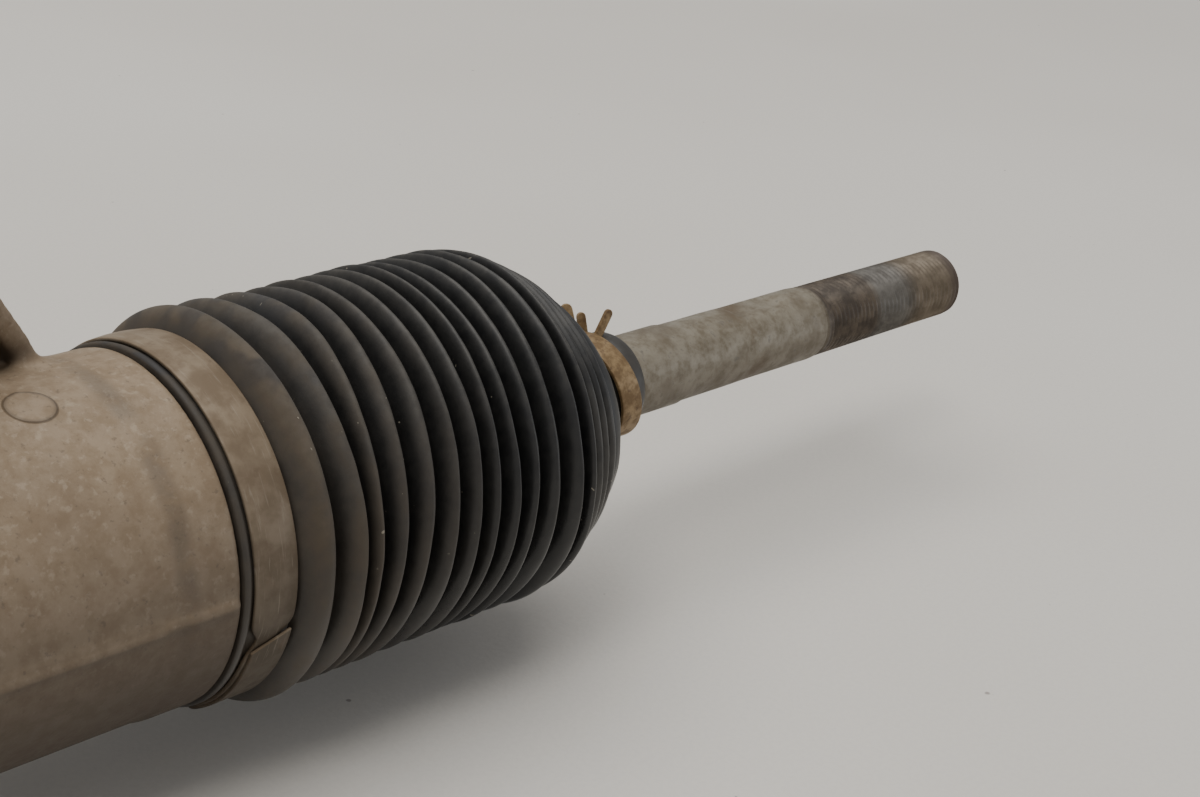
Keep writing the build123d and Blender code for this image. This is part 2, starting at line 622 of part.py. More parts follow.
def shapes():
    made = {
        "pinion_housing": pinion_housing(),
        "end_housing": end_housing(),
        "rack_tube": rack_tube(),
        "saddle_bush": saddle_bush(),
        "rack_bush": rack_bush(),
        "rack_bar": rack_bar(),
        "pinion_shaft": pinion_shaft(),
        "upper_bearing_outer_race": bearing_race(RACE_R, UPPER_BORE_R - FIT),
        "upper_bearing_inner_race": bearing_race(JOURNAL_R + 0.02, RACE_BORE_R),
        "upper_bearing_cage": bearing_cage(),
        "upper_bearing_balls": bearing_balls(),
        "upper_bearing_circlip": at_pinion(
            ring(CIRCLIP_START, CIRCLIP_END, CIRCLIP_R - 3.5, CIRCLIP_R - 0.1, Axis.Z)),
        "pinion_snap_ring": at_pinion(
            ring(CIRCLIP_START, CIRCLIP_END - 0.4, SNAP_GROOVE_R + FIT, SNAP_RING_R, Axis.Z)),
        "pinion_seal": at_pinion(ring(SEAL_START, SEAL_END, JOURNAL_R + 0.06, UPPER_BORE_R - FIT, Axis.Z)),
        "pinion_dust_cover": at_pinion(dust_cover()),
        "lower_bearing_cup": at_pinion(needle_cup()),
        "lower_bearing_needles": bearing_needles(),
        "lower_plug": at_pinion(rod(LOWER_PLUG_START, LOWER_PLUG_END, LOWER_PLUG_R - FIT, Axis.Z)),
        "yoke": yoke(),
        "yoke_liner": yoke_liner(),
        "yoke_spring": yoke_spring(),
        "yoke_o_ring": at_yoke(Rot(90, 0, 0) * Pos(0, 0, O_RING_Y) * Torus(YOKE_R - O_RING_R, O_RING_R)),
        "yoke_plug": yoke_plug(),
        "yoke_lock_nut": yoke_lock_nut(),
    }
    for side in ("left", "right"):
        ball = ball_seat_distance(side)
        stretch = ball - RIGHT_BALL_SEAT
        made[side + "_mount_bush"] = at_end(at_lug(mount_bush(), side), side)
        made[side + "_mount_sleeve"] = at_end(at_lug(mount_sleeve(), side), side)
        made[side + "_lock_washer"] = at_end(Pos(ball, 0, 0) * lock_washer(), side)
        made[side + "_inner_socket"] = at_end(Pos(ball, 0, 0) * inner_socket(), side)
        made[side + "_ball_seat"] = at_end(Pos(ball, 0, 0) * ball_seat(), side)
        made[side + "_tie_rod"] = at_end(Pos(ball, 0, 0) * tie_rod(), side)
        made[side + "_bellows"] = at_end(bellows(stretch), side)
        made[side + "_large_clamp"] = at_end(large_clamp(), side)
        made[side + "_small_clamp"] = at_end(small_clamp(stretch), side)
    return made


os.makedirs("parts", exist_ok=True)
for name, shape in shapes().items():
    export_step(shape, "parts/" + name + ".step")
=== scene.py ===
import json
import math

import bmesh
import bpy
from mathutils import Matrix, Vector, noise

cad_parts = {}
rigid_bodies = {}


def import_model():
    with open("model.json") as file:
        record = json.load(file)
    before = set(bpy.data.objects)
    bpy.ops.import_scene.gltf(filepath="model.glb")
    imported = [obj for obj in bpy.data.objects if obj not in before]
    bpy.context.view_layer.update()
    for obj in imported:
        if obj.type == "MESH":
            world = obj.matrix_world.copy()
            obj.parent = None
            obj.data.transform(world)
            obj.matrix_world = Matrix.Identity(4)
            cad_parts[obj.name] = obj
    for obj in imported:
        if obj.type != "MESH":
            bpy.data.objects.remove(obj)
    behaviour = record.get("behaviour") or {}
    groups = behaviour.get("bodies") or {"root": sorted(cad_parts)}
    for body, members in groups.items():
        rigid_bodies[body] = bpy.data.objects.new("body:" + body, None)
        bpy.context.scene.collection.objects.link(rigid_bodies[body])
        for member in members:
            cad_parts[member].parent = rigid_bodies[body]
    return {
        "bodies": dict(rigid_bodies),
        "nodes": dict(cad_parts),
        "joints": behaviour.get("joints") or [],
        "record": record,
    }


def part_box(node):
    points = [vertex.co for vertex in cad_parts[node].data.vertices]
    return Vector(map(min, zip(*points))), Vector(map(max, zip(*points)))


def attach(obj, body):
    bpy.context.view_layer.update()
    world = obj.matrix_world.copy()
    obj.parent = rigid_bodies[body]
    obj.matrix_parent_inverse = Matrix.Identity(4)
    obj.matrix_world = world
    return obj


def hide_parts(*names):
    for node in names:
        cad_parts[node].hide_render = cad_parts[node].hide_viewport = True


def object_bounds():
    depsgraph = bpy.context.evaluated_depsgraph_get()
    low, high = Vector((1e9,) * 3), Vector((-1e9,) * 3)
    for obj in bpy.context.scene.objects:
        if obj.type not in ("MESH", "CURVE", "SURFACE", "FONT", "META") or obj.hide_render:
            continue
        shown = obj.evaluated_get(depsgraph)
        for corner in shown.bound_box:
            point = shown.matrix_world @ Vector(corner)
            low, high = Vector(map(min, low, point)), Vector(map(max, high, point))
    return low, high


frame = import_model()
cad_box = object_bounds()

MM = 0.001
RUBBER_CLEARANCE = 0.6 * MM      # the CAD cuff starts this far from the boot seat shoulder
SEGMENTS = 144                   # round the bellows
BAND_SEGMENTS = 216
ROD_SEGMENTS = 96

record_joints = {joint["name"]: joint for joint in frame["joints"]}
axis_height = record_joints["right_rod_lift"]["pos_m"][2]
seat_x = {
    "right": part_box("right_bellows")[0].x - RUBBER_CLEARANCE,
    "left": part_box("left_bellows")[1].x + RUBBER_CLEARANCE,
}
ball_distance = {
    side: abs(record_joints[side + "_rod_lift"]["pos_m"][0] - seat_x[side]) / MM for side in seat_x
}
stretch = {side: ball_distance[side] - ball_distance["right"] for side in seat_x}


# Camera, lights and floor

CAMERA_OFFSET = Vector((-0.1691, -0.2425, 0.1548))      # from the centre of the right boot seat
CAMERA_DIRECTION = (0.6967, 0.6008, -0.3919)
CAMERA_ROLL = math.radians(7.06)
FLOOR_SIZE = 12


def point_at(obj, direction, roll=0.0):
    turn = Vector(direction).to_track_quat("-Z", "Y").to_matrix()
    obj.rotation_euler = (turn @ Matrix.Rotation(roll, 3, "Z")).to_euler()


def add_camera():
    data = bpy.data.cameras.new("camera")
    data.lens = 60
    data.sensor_width = 36
    camera = bpy.data.objects.new("camera", data)
    bpy.context.scene.collection.objects.link(camera)
    camera.location = Vector((seat_x["right"], 0, axis_height)) + CAMERA_OFFSET
    point_at(camera, CAMERA_DIRECTION, CAMERA_ROLL)
    bpy.context.scene.camera = camera


def add_area_light(name, place, target, size, watts, colour):
    data = bpy.data.lights.new(name, "AREA")
    data.shape = "DISK"
    data.size = size
    data.energy = watts
    data.color = colour
    light = bpy.data.objects.new(name, data)
    bpy.context.scene.collection.objects.link(light)
    light.location = place
    point_at(light, Vector(target) - Vector(place))


def add_surroundings():
    world = bpy.data.worlds.new("studio")
    world.use_nodes = True
    background = world.node_tree.nodes["Background"]
    background.inputs["Color"].default_value = (0.97, 0.98, 1.0, 1)
    background.inputs["Strength"].default_value = 0.45
    bpy.context.scene.world = world
    middle = Vector((seat_x["right"], 0, axis_height))
    add_area_light("ceiling", middle + Vector((-0.1, 0.3, 2.3)), middle, 3.0, 55, (1.0, 0.99, 0.965))
    add_area_light("window", middle + Vector((-1.0, -0.45, 1.7)), middle, 0.7, 7.6, (1.0, 0.985, 0.955))
    add_area_light("low_fill", middle + Vector((1.3, -1.1, 0.25)), middle, 0.8, 3.6, (0.86, 0.92, 1.0))
    bpy.ops.mesh.primitive_plane_add(size=FLOOR_SIZE, location=(0, 0, cad_box[0].z))
    floor = bpy.context.object
    floor.name = "paper_floor"
    floor.data.materials.append(paper_material())


# Material building blocks

class Nodes:
    """A material's node tree with short calls for the nodes that the finishes share."""

    def __init__(self, name):
        self.material = bpy.data.materials.new(name)
        self.material.use_nodes = True
        self.tree = self.material.node_tree
        self.shader = self.tree.nodes["Principled BSDF"]
        self.coords = self.tree.nodes.new("ShaderNodeTexCoord").outputs["Object"]
        split = self.tree.nodes.new("ShaderNodeSeparateXYZ")
        self.link(self.coords, split.inputs[0])
        self.x, self.y, self.z = split.outputs

    def link(self, source, target):
        self.tree.links.new(source, target)

    def put(self, socket, value):
        if isinstance(value, bpy.types.NodeSocket):
            self.link(value, socket)
        else:
            socket.default_value = value

    def math(self, operation, first, second=0.0, third=0.0, clamp=False):
        node = self.tree.nodes.new("ShaderNodeMath")
        node.operation = operation
        node.use_clamp = clamp
        for socket, value in zip(node.inputs, (first, second, third)):
            self.put(socket, value)
        return node.outputs[0]

    def stretched(self, scale):
        node = self.tree.nodes.new("ShaderNodeMapping")
        self.link(self.coords, node.inputs["Vector"])
        node.inputs["Scale"].default_value = scale
        return node.outputs[0]

    def noise(self, scale, detail=4.0, roughness=0.55, distortion=0.0, coords=None):
        node = self.tree.nodes.new("ShaderNodeTexNoise")
        self.link(coords or self.coords, node.inputs["Vector"])
        node.inputs["Scale"].default_value = scale
        node.inputs["Detail"].default_value = detail
        node.inputs["Roughness"].default_value = roughness
        node.inputs["Distortion"].default_value = distortion
        return node.outputs["Fac"]

    def cells(self, scale, coords=None):
        node = self.tree.nodes.new("ShaderNodeTexVoronoi")
        self.link(coords or self.coords, node.inputs["Vector"])
        node.inputs["Scale"].default_value = scale
        return node.outputs["Distance"]

    def span(self, value, low, high, out_low=0.0, out_high=1.0):
        node = self.tree.nodes.new("ShaderNodeMapRange")
        node.interpolation_type = "SMOOTHSTEP"
        self.put(node.inputs["Value"], value)
        node.inputs["From Min"].default_value = low
        node.inputs["From Max"].default_value = high
        node.inputs["To Min"].default_value = out_low
        node.inputs["To Max"].default_value = out_high
        return node.outputs[0]

    def mix(self, share, first, second):
        node = self.tree.nodes.new("ShaderNodeMix")
        node.data_type = "RGBA"
        self.put(node.inputs[0], share)
        for socket, value in zip(node.inputs[6:8], (first, second)):
            self.put(socket, value if isinstance(value, bpy.types.NodeSocket) else (*value, 1))
        return node.outputs[2]

    def bump(self, height, distance, strength=1.0, below=None):
        node = self.tree.nodes.new("ShaderNodeBump")
        self.link(height, node.inputs["Height"])
        node.inputs["Distance"].default_value = distance
        self.put(node.inputs["Strength"], strength)
        if below is not None:
            self.link(below, node.inputs["Normal"])
        return node.outputs[0]

    def upward(self):
        """How far the surface faces up, from -1 to 1."""
        node = self.tree.nodes.new("ShaderNodeNewGeometry")
        split = self.tree.nodes.new("ShaderNodeSeparateXYZ")
        self.link(node.outputs["Normal"], split.inputs[0])
        return split.outputs[2]

    def axis_radius(self):
        """Distance from the rack axis."""
        height = self.math("SUBTRACT", self.z, axis_height)
        height = self.math("MULTIPLY", height, height)
        return self.math("SQRT", self.math("ADD", self.math("MULTIPLY", self.y, self.y), height))

    def seat_distance(self):
        """Distance outwards from the nearer boot seat, negative over the housing."""
        return self.math("SUBTRACT", self.math("ABSOLUTE", self.x), seat_x["right"])

    def near_point(self, point, near, far, at_near=1.0, at_far=0.0):
        """Falls from one value to another between two distances from a point on either end of the gear."""
        node = self.tree.nodes.new("ShaderNodeCombineXYZ")
        self.link(self.math("ABSOLUTE", self.x), node.inputs[0])
        self.link(self.y, node.inputs[1])
        self.link(self.z, node.inputs[2])
        away = self.tree.nodes.new("ShaderNodeVectorMath")
        away.operation = "DISTANCE"
        self.link(node.outputs[0], away.inputs[0])
        away.inputs[1].default_value = point
        return self.span(away.outputs["Value"], near, far, at_near, at_far)

    def painted_corner_shade(self):
        """Painted shade in inside corners, from ambient occlusion."""
        node = self.tree.nodes.new("ShaderNodeAmbientOcclusion")
        node.samples = 6
        node.inputs["Distance"].default_value = 0.006
        return self.span(node.outputs["AO"], 0.80, 0.35)

    def finish(self, colour, roughness, normal=None, metallic=0.0):
        self.put(self.shader.inputs["Base Color"], colour)
        self.put(self.shader.inputs["Roughness"], roughness)
        self.put(self.shader.inputs["Metallic"], metallic)
        if normal is not None:
            self.link(normal, self.shader.inputs["Normal"])
        return self.material


def paper_material():
    n = Nodes("paper")
    fibre = n.noise(420, 6, 0.7)
    clouds = n.noise(2.2, 3, 0.5)
    base = n.mix(n.span(clouds, 0.3, 0.7), (0.594, 0.560, 0.508), (0.644, 0.614, 0.568))
    shade = n.math("MULTIPLY", n.span(n.noise(900, 3, 0.6), 0.35, 0.7), 0.10)
    fine = n.mix(shade, base, (0.42, 0.40, 0.37))
    speck = n.mix(n.span(n.noise(210, 2, 0.5), 0.765, 0.80), fine, (0.33, 0.30, 0.27))
    return n.finish(speck, 0.92, n.bump(fibre, 0.0002, 0.5))


BARREL_R = 29.6
MARK_SEAT = -22.0
MARK_FROM_TOP = math.radians(12)
EJECTOR_MARK = (
    seat_x["right"] + MARK_SEAT * MM,
    -BARREL_R * MM * math.sin(MARK_FROM_TOP),
    axis_height + BARREL_R * MM * math.cos(MARK_FROM_TOP),
)


def cast_material():
    """Weathered casting: warm mottled grey, painted shade underneath and in inside corners, dirt along the
    step at the boot seat.
    """
    n = Nodes("cast_aluminium")
    mottle = n.noise(300, 5, 0.62)
    broad = n.noise(75, 4, 0.55)
    # One dark colour, used both for real dirt (ejector mark rim, step line) and for painted shade
    # (underside, inside corners).
    grime_and_shade = (0.054, 0.040, 0.028)
    colour = n.mix(n.span(mottle, 0.34, 0.66), (0.215, 0.152, 0.092), (0.275, 0.205, 0.134))
    colour = n.mix(n.math("MULTIPLY", n.span(broad, 0.46, 0.66), 0.24), colour, (0.150, 0.105, 0.066))
    pale = n.math("MULTIPLY", n.span(n.noise(700, 4, 0.6), 0.54, 0.70), 0.36)
    colour = n.mix(pale, colour, (0.400, 0.325, 0.240))
    dark = n.math("MULTIPLY", n.span(n.noise(900, 3, 0.6), 0.60, 0.72), 0.45)
    colour = n.mix(dark, colour, (0.085, 0.060, 0.040))
    # Painted shade: faces turned down are darkened, less so on the lug's arm above the barrel.
    barrel = n.span(n.z, axis_height + 0.030, axis_height + 0.036, 0.92, 0.35)
    below = n.span(n.upward(), 0.98, -0.55)
    colour = n.mix(n.math("MULTIPLY", below, barrel), colour, grime_and_shade)
    mark = n.near_point(EJECTOR_MARK, 0.0037, 0.0042)
    rim = n.math("MULTIPLY", mark, n.near_point(EJECTOR_MARK, 0.0031, 0.0038, 0.0, 1.0))
    colour = n.mix(n.math("MULTIPLY", rim, 0.45), colour, grime_and_shade)
    seat = n.seat_distance()
    step = n.math("MULTIPLY", n.span(seat, -0.0125, -0.0100), n.span(seat, -0.0068, -0.0092))
    worn = n.span(n.noise(150, 3, 0.6), 0.36, 0.62)
    colour = n.mix(n.math("MULTIPLY", n.math("MULTIPLY", step, worn), 0.42), colour, grime_and_shade)
    # Painted shade in inside corners of the casting.
    colour = n.mix(n.math("MULTIPLY", n.painted_corner_shade(), 0.38), colour, grime_and_shade)
    raised_mark = n.bump(mark, 0.0006, 0.8)
    fine = n.bump(n.noise(1000, 5, 0.65), 0.00010, 0.6, raised_mark)
    pits = n.bump(n.span(n.cells(480), 0.0, 0.22), 0.00010, 0.5, fine)
    waves = n.bump(n.noise(120, 3, 0.5), 0.0008, 0.35, pits)
    return n.finish(colour, n.span(mottle, 0.3, 0.7, 0.68, 0.54), waves, 0.12)


def bellows_material():
    """Old black rubber, dusty brown near the boot seat and on top of the folds."""
    n = Nodes("bellows_rubber")
    seat = n.seat_distance()
    near = n.span(seat, 0.060, 0.018)
    first = n.math("MULTIPLY", n.span(seat, 0.022, 0.013), n.span(seat, 0.0020, 0.0070, 0.80, 1.0))
    radius = n.axis_radius()
    crest = n.span(radius, 0.0308, 0.0338)
    patchy = n.span(n.noise(110, 5, 0.6), 0.34, 0.66)
    fine = n.span(n.noise(420, 4, 0.65), 0.35, 0.65)
    colour = n.mix(fine, (0.0048, 0.0048, 0.0050), (0.0110, 0.0106, 0.0100))
    dust = n.math("MULTIPLY", near, n.math("ADD", n.math("MULTIPLY", patchy, 0.50), 0.42))
    dust = n.math("MULTIPLY", dust, n.math("ADD", n.math("MULTIPLY", crest, 0.74), 0.07))
    colour = n.mix(dust, colour, (0.082, 0.064, 0.045))
    cuff = n.math("MULTIPLY", first, n.math("ADD", n.math("MULTIPLY", patchy, 0.30), 0.28))
    cuff = n.math("MULTIPLY", cuff, n.span(n.upward(), -0.5, 0.7, 0.45, 1.0))
    colour = n.mix(cuff, colour, (0.105, 0.080, 0.054))
    rubbed = n.math("MULTIPLY", n.span(n.noise(64, 3, 0.6), 0.50, 0.60), n.span(n.upward(), 0.25, 0.75))
    rubbed = n.math("MULTIPLY", rubbed, n.span(seat, 0.046, 0.030))
    colour = n.mix(n.math("MULTIPLY", rubbed, 0.62), colour, (0.020, 0.020, 0.023))
    top = n.span(n.upward(), 0.15, 0.95)
    grey = n.math("ADD", n.math("MULTIPLY", fine, 0.18), 0.12)
    grey = n.math("MULTIPLY", n.math("MULTIPLY", top, crest), grey)
    colour = n.mix(grey, colour, (0.13, 0.115, 0.095))
    far = n.math("MULTIPLY", n.span(seat, 0.0755, 0.0775), n.span(seat, 0.0848, 0.0838))
    far = n.math("MULTIPLY", n.math("MULTIPLY", far, patchy), 0.30)
    colour = n.mix(far, colour, (0.100, 0.091, 0.078))
    lip = n.math("ADD", n.math("MULTIPLY", patchy, 0.3), 0.18)
    lip = n.math("MULTIPLY", n.span(seat, 0.1040, 0.1080), lip)
    colour = n.mix(lip, colour, (0.070, 0.060, 0.048))
    specks = n.span(n.noise(800, 1, 0.5), 0.765, 0.785)
    specks = n.math("MULTIPLY", specks, n.span(n.noise(55, 2, 0.5), 0.52, 0.60))
    colour = n.mix(n.math("MULTIPLY", specks, 0.7), colour, (0.30, 0.27, 0.21))
    streaks = n.noise(1.0, 4, 0.6, 0.0, n.stretched((60, 620, 620)))
    clean = n.span(n.upward(), -0.35, 0.45, 0.20, 0.50)
    rough = n.math("ADD", clean, n.math("MULTIPLY", n.math("ADD", dust, cuff), 0.60), clamp=True)
    n.put(n.shader.inputs["Specular IOR Level"], n.span(n.upward(), 0.0, -0.45, 0.5, 1.0))
    grain = n.bump(n.noise(1500, 3, 0.6), 0.00005, 0.35)
    worn = n.bump(streaks, 0.00006, n.span(seat, 0.074, 0.078, 0.3, 0.05), grain)
    return n.finish(colour, rough, worn)


def band_material():
    n = Nodes("clamp_band")
    patch = n.span(n.noise(150, 5, 0.6), 0.35, 0.65)
    scratch = n.noise(1.0, 3, 0.6, 0.0, n.stretched((2600, 160, 160)))
    colour = n.mix(patch, (0.138, 0.096, 0.056), (0.215, 0.162, 0.106))
    # Painted shade: the band is darker on faces turned down.
    below = n.span(n.upward(), 0.95, -0.50)
    colour = n.mix(n.math("MULTIPLY", below, 0.82), colour, (0.042, 0.033, 0.023))
    colour = n.mix(n.math("MULTIPLY", n.span(scratch, 0.58, 0.70), 0.16), colour, (0.42, 0.37, 0.30))
    rust = n.span(n.noise(420, 4, 0.6), 0.58, 0.70)
    colour = n.mix(n.math("MULTIPLY", rust, 0.35), colour, (0.100, 0.062, 0.034))
    normal = n.bump(n.noise(900, 4, 0.6), 0.00006, 0.4, n.bump(n.noise(150, 2, 0.5), 0.00035, 0.3))
    return n.finish(colour, n.span(patch, 0, 1, 0.66, 0.52), normal, 0.15)


def brass_material():
    n = Nodes("spring_clamp")
    patch = n.span(n.noise(420, 5, 0.65), 0.36, 0.64)
    colour = n.mix(patch, (0.140, 0.084, 0.034), (0.270, 0.182, 0.088))
    rust = n.span(n.noise(760, 4, 0.6), 0.56, 0.68)
    colour = n.mix(n.math("MULTIPLY", rust, 0.65), colour, (0.080, 0.042, 0.018))
    normal = n.bump(n.noise(1500, 4, 0.6), 0.00008, 0.5)
    return n.finish(colour, n.span(patch, 0, 1, 0.66, 0.48), normal, 0.30)


def rod_material():
    """Zinc plating gone dull, brown stains, and a rusty thread with a worn stretch."""
    n = Nodes("zinc_steel")
    mottled = n.span(n.noise(260, 6, 0.62), 0.34, 0.66)
    fine = n.span(n.noise(900, 4, 0.65), 0.38, 0.62)
    colour = n.mix(mottled, (0.126, 0.101, 0.066), (0.218, 0.190, 0.143))
    colour = n.mix(n.math("MULTIPLY", fine, 0.35), colour, (0.250, 0.224, 0.175))
    patches = n.span(n.noise(80, 4, 0.6), 0.48, 0.60)
    colour = n.mix(n.math("MULTIPLY", patches, 0.55), colour, (0.112, 0.086, 0.054))
    dark = n.span(n.noise(520, 5, 0.7), 0.58, 0.70)
    colour = n.mix(n.math("MULTIPLY", dark, 0.50), colour, (0.055, 0.048, 0.040))
    along = n.tree.nodes.new("ShaderNodeAttribute")
    along.attribute_name = "along"
    distance = along.outputs["Fac"]
    stain = n.math("MULTIPLY", n.span(distance, 0.126, 0.131), n.span(distance, 0.139, 0.133))
    stain = n.math("MULTIPLY", stain, n.span(n.noise(110, 4, 0.6), 0.40, 0.55))
    colour = n.mix(n.math("MULTIPLY", stain, 0.75), colour, (0.105, 0.070, 0.036))
    # Painted shade: the rod is darker on faces turned down.
    below = n.span(n.upward(), 0.6, -0.7)
    colour = n.mix(n.math("MULTIPLY", below, 0.40), colour, (0.080, 0.066, 0.050))
    thread = n.span(distance, 0.1565, 0.1580)
    worn = n.math("MULTIPLY", n.span(distance, 0.1745, 0.1785), n.span(distance, 0.196, 0.188))
    rusty = n.mix(mottled, (0.040, 0.029, 0.020), (0.088, 0.066, 0.045))
    bright = n.mix(mottled, (0.068, 0.060, 0.051), (0.118, 0.108, 0.094))
    outer = n.mix(mottled, (0.095, 0.072, 0.046), (0.160, 0.126, 0.088))
    screw = n.mix(n.span(distance, 0.186, 0.196), n.mix(worn, rusty, bright), outer)
    screw = n.mix(n.span(distance, 0.2035, 0.2085), screw, (0.07, 0.05, 0.038))
    colour = n.mix(thread, colour, screw)
    rough = n.span(mottled, 0, 1, 0.62, 0.48)
    normal = n.bump(n.noise(1100, 5, 0.6), 0.00010, 0.5, n.bump(n.noise(210, 3, 0.5), 0.0006, 0.35))
    return n.finish(colour, rough, normal, 0.25)


def steel_material(name, dark, light, metallic, scale, rough_low, rough_high):
    n = Nodes(name)
    patch = n.span(n.noise(scale, 5, 0.6, 0.3), 0.35, 0.65)
    colour = n.mix(patch, dark, light)
    stains = n.span(n.noise(scale * 3.1, 4, 0.6), 0.60, 0.74)
    colour = n.mix(n.math("MULTIPLY", stains, 0.35), colour, [0.35 * value for value in dark])
    normal = n.bump(n.noise(scale * 12, 4, 0.6), 0.00005, 0.4)
    return n.finish(colour, n.span(patch, 0, 1, rough_high, rough_low), normal, metallic)


def rubber_material(name, dark, dusty, scale):
    n = Nodes(name)
    patch = n.span(n.noise(scale, 5, 0.6, 0.5), 0.38, 0.66)
    top = n.span(n.upward(), 0.1, 0.9)
    share = n.math("MULTIPLY", patch, n.math("ADD", n.math("MULTIPLY", top, 0.5), 0.3))
    normal = n.bump(n.noise(1300, 3, 0.6), 0.00006, 0.4)
    return n.finish(n.mix(share, dark, dusty), n.span(patch, 0, 1, 0.5, 0.7), normal)


# Mesh building blocks

def end_matrix(side):
    """From seat distances along +X to the row frame."""
    turn = Matrix.Identity(4) if side == "right" else Matrix.Rotation(math.pi, 4, "Z")
    return Matrix.Translation((seat_x[side], 0, axis_height)) @ turn


def add_piece(name, mesh, body, material, matrix=None, smooth_angle=40):
    """A finished piece: placed, smooth shaded, riding its body and painted."""
    if matrix is not None:
        mesh.transform(matrix)
    mesh.materials.append(material)
    for face in mesh.polygons:
        face.use_smooth = True
    piece = bpy.data.objects.new(name, mesh)
    bpy.context.scene.collection.objects.link(piece)
    mesh.set_sharp_from_angle(angle=math.radians(smooth_angle))
    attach(piece, body)
    return piece


def mesh_from(bm, name):
    bmesh.ops.recalc_face_normals(bm, faces=bm.faces)
    mesh = bpy.data.meshes.new(name)
    bm.to_mesh(mesh)
    bm.free()
    return mesh


def lathe(name, outline, segments, warp):
    """Closed outline of (along, radius) in mm turned about X. warp(along, angle) shifts both a little."""
    bm = bmesh.new()
    rings = []
    for along, radius in outline:
        if radius < 1e-6:
            rings.append([bm.verts.new((along * MM, 0, 0))])
            continue
        ring = []
        for index in range(segments):
            angle = 2 * math.pi * index / segments
            shift_along, shift_radius = warp(along, angle)
            r = (radius + shift_radius) * MM
            x = (along + shift_along) * MM
            ring.append(bm.verts.new((x, r * math.cos(angle), r * math.sin(angle))))
        rings.append(ring)
    for first, second in zip(rings, rings[1:] + rings[:1]):
        if len(first) == 1 and len(second) == 1:
            continue
        for index in range(segments):
            after = (index + 1) % segments
            corners = [first[index % len(first)], first[after % len(first)],
                       second[after % len(second)], second[index % len(second)]]
            bm.faces.new(list(dict.fromkeys(corners)))
    return mesh_from(bm, name)


def rounded(points, radius, steps=4):
    """Closed outline with each corner cut by a small arc of about that radius."""
    result = []
    count = len(points)
    for index in range(count):
        corner = Vector(points[index])
        before = Vector(points[index - 1])
        after = Vector(points[(index + 1) % count])
        reach_in = min(radius, 0.45 * (before - corner).length)
        reach_out = min(radius, 0.45 * (after - corner).length)
        if corner.y < 1e-6 or reach_in < 1e-4 or reach_out < 1e-4:
            result.append(tuple(corner))
            continue
        start = corner + (before - corner).normalized() * reach_in
        end = corner + (after - corner).normalized() * reach_out
        for step in range(steps + 1):
            t = step / steps
            point = start * (1 - t) ** 2 + corner * (2 * t * (1 - t)) + end * t * t
            result.append(tuple(point))
    return result


def between(place, stops):
    """Value at a place on a line of (place, value) stops, held constant beyond its ends."""
    if place <= stops[0][0]:
        return stops[0][1]
    for (start, first), (end, second) in zip(stops, stops[1:]):
        if place <= end:
            return first + (second - first) * (place - start) / (end - start)
    return stops[-1][1]


# Bellows

CUFF_END = 10.6
NECK_START = 101.0
FOLD_ROUNDNESS = 1.95
# Crests of the folds: seat distance, radius, and how far each leans outwards at the top and at the front
FOLDS = [
    (14.2, 34.0, 0.0, 0.2), (21.7, 33.8, 0.4, 0.0), (27.9, 33.4, 1.2, -2.9), (32.6, 33.3, 2.5, -2.5),
    (37.0, 33.4, 3.1, -1.5), (43.0, 33.5, 2.2, -1.4), (48.2, 33.6, 1.7, -1.1), (51.8, 33.7, 2.0, -0.8),
    (55.9, 33.7, 1.9, -0.4), (60.3, 33.8, 1.9, -0.5), (66.1, 33.8, 0.7, -0.7), (71.6, 33.8, 0.0, 0.1),
    (75.2, 33.5, -0.2, 0.3),
]
SHOULDER_FOLDS = [(78.4, 31.9), (80.9, 30.7), (83.4, 29.4)]
DOME = [(85.2, 26.9), (86.0, 27.0), (87.6, 26.4), (90.0, 24.4), (92.5, 22.2), (95.0, 19.8), (97.2, 17.2),
        (99.0, 14.4), (100.2, 12.0)]
LAST_VALLEY = (76.9, 30.4)
VALLEY_DEPTH = 6.4
FIRST_VALLEY_DEPTH = 5.0
SHOULDER_DEPTH = 1.3
CUFF_TOP_R = 30.15
CUFF_BORE_R = 27.62
NECK_BORE_R = 8.6
WALL = 1.5
FOLD_SHARE = 0.85               # part of a longer bellows' extra length that goes into its folds
# How much of the tie rod's swing the bellows takes part in, by distance from the ball
BEND_SHARES = [(-8, 0), (10, 0.2), (26, 0.32), (44, 0.36), (55, 0.5), (65, 0.64), (73, 0.82), (78, 1.0)]


def fold_profile(crests, start, end, depths, steps=12):
    """Folds with narrow valleys and fairly crisp crests between two end points."""
    points = []
    previous = start
    stops = []
    for (here, high), (there, other), depth in zip(crests, crests[1:], depths):
        stops.append((0.5 * (here + there), min(high, other) - depth))
    for (along, radius), stop in zip(crests, stops + [end]):
        for step in range(1, 2 * steps):
            t = step / steps
            low = previous if t <= 1 else stop
            share = t if t <= 1 else 2 - t
            lift = 1 - (1 - share) ** FOLD_ROUNDNESS
            if t <= 1:
                place = previous[0] + (along - previous[0]) * t
            else:
                place = along + (stop[0] - along) * (t - 1)
            points.append((place, low[1] + (radius - low[1]) * lift))
        points.append(stop)
        previous = stop
    return points


def drawn_place(along, drawn_out):
    """Where a seat distance of the right bellows lies on a bellows that is drawn out further."""
    length = FOLDS[-1][0] - CUFF_END
    folds = min(max(along - CUFF_END, 0), length) * (1 + FOLD_SHARE * drawn_out / length)
    shoulder_length = NECK_START - FOLDS[-1][0]
    shoulder = min(max(along - FOLDS[-1][0], 0), shoulder_length)
    shoulder *= 1 + (1 - FOLD_SHARE) * drawn_out / shoulder_length
    return min(along, CUFF_END) + folds + shoulder + max(0, along - NECK_START)


